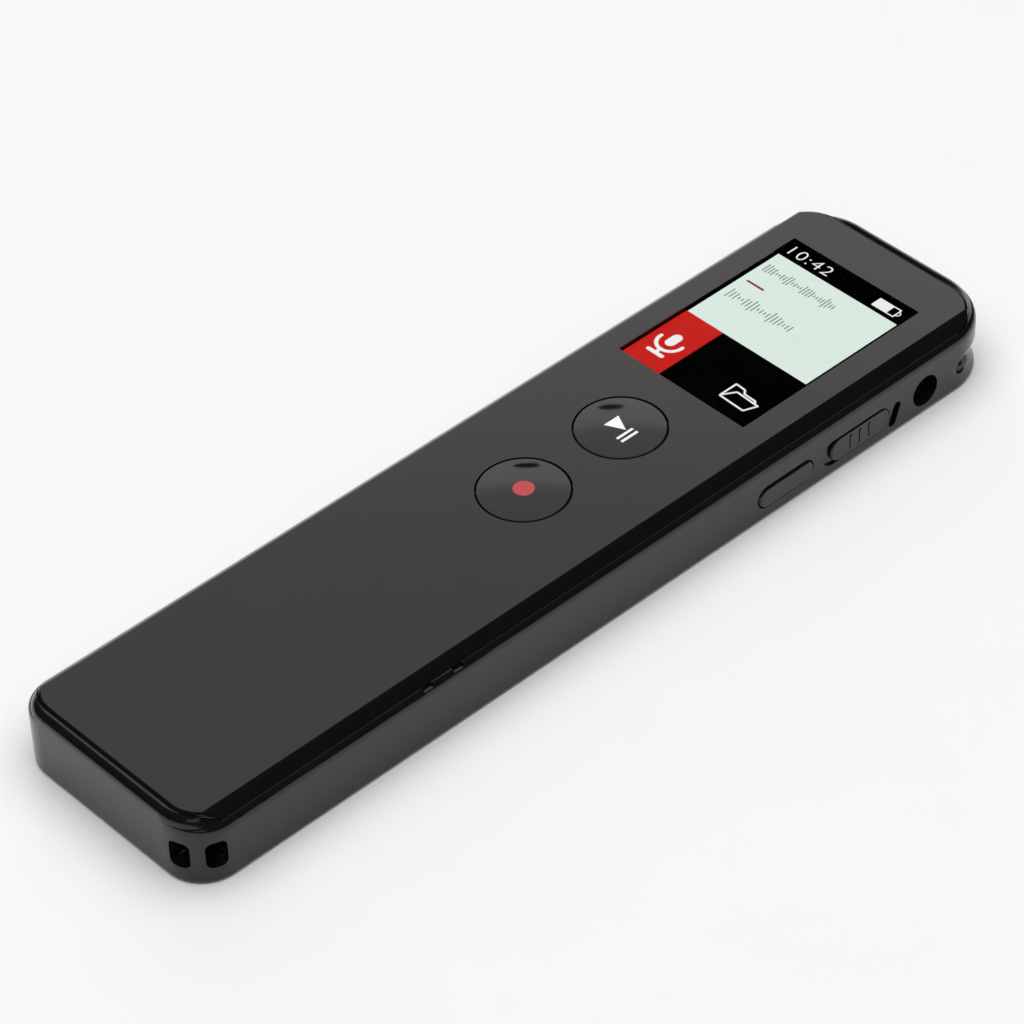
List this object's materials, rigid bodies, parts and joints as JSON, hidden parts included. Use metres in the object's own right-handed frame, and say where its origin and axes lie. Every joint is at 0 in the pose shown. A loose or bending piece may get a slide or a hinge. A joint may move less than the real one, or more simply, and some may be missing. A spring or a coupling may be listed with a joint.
{
  "type": "handheld voice recorder",
  "caption": "Slim gloss-black handheld voice recorder with a small display, two round front buttons, side keys, a slide switch, a headphone socket and a strap bar.",
  "frame": {"origin": "middle of the back face, on the plane the recorder lies on", "axes": "+X towards the side with the headphone socket, +Y towards the display end, +Z out of the face with the display"},
  "size_m": [0.027, 0.1074, 0.0082],
  "materials": {
    "shell_black": "semi-gloss",
    "cover_black": "high gloss",
    "cap_black": "high gloss",
    "window": "clear",
    "lcd_glass": "gloss",
    "mark_red": "gloss",
    "mark_white": "gloss",
    "white_plastic": "matte",
    "silicone": "matte",
    "board": "solder mask",
    "chip": "matte",
    "steel": "satin",
    "gold": "plated",
    "jack_plastic": "matte",
    "foil": "foil",
    "tape": "matte",
    "wire_red": "satin",
    "wire_black": "satin",
    "amber_film": "satin"
  },
  "bodies": {
    "housing": {"audio_codec": "chip", "battery_board": "board", "battery_cell": "foil", "battery_lead_black": "wire_black", "battery_lead_red": "wire_red", "battery_tape": "tape", "board_screws": "steel", "charger_chip": "chip", "crystal": "steel", "display_flex": "amber_film", "display_frame": "white_plastic", "display_panel": "lcd_glass", "display_window": "window", "front_cover": "cover_black", "front_switches": "chip", "headphone_jack": "jack_plastic", "jack_contacts": "gold", "left_switches": "chip", "main_board": "board", "memory_chip": "chip", "mic_boots": "silicone", "microphones": "steel", "processor": "chip", "rear_shell": "shell_black", "return_pad": "silicone", "side_switch": "chip", "slide_switch": "steel", "small_parts": "chip", "speaker": "steel", "speaker_gasket": "tape", "usb_shell": "steel", "usb_tongue": "jack_plastic", "window_tape": "tape"},
    "record_key": {"record_button": "cap_black", "record_dot": "mark_red"},
    "play_key": {"play_button": "cap_black", "play_symbol": "mark_white"},
    "side_key": {"side_key": "cap_black"},
    "left_key_lower": {"left_key_lower": "cap_black"},
    "left_key_upper": {"left_key_upper": "cap_black"},
    "power_slide": {"slide_knob": "cap_black", "slide_actuator": "jack_plastic"}
  },
  "joints": [
    {"name": "record_press", "type": "slide", "parent": "housing", "child": "record_key", "axis": [0, 0, -1], "range_m": [0, 0.0003], "stiffness_N_per_m": 3000},
    {"name": "play_press", "type": "slide", "parent": "housing", "child": "play_key", "axis": [0, 0, -1], "range_m": [0, 0.0003], "stiffness_N_per_m": 3000},
    {"name": "side_key_press", "type": "slide", "parent": "housing", "child": "side_key", "axis": [-1, 0, 0], "range_m": [0, 0.0003], "stiffness_N_per_m": 3000},
    {"name": "left_key_lower_press", "type": "slide", "parent": "housing", "child": "left_key_lower", "axis": [1, 0, 0], "range_m": [0, 0.0003], "stiffness_N_per_m": 3000},
    {"name": "left_key_upper_press", "type": "slide", "parent": "housing", "child": "left_key_upper", "axis": [1, 0, 0], "range_m": [0, 0.0003], "stiffness_N_per_m": 3000},
    {"name": "power_slide_move", "type": "slide", "parent": "housing", "child": "power_slide", "axis": [0, -1, 0], "range_m": [0, 0.001]}
  ]
}
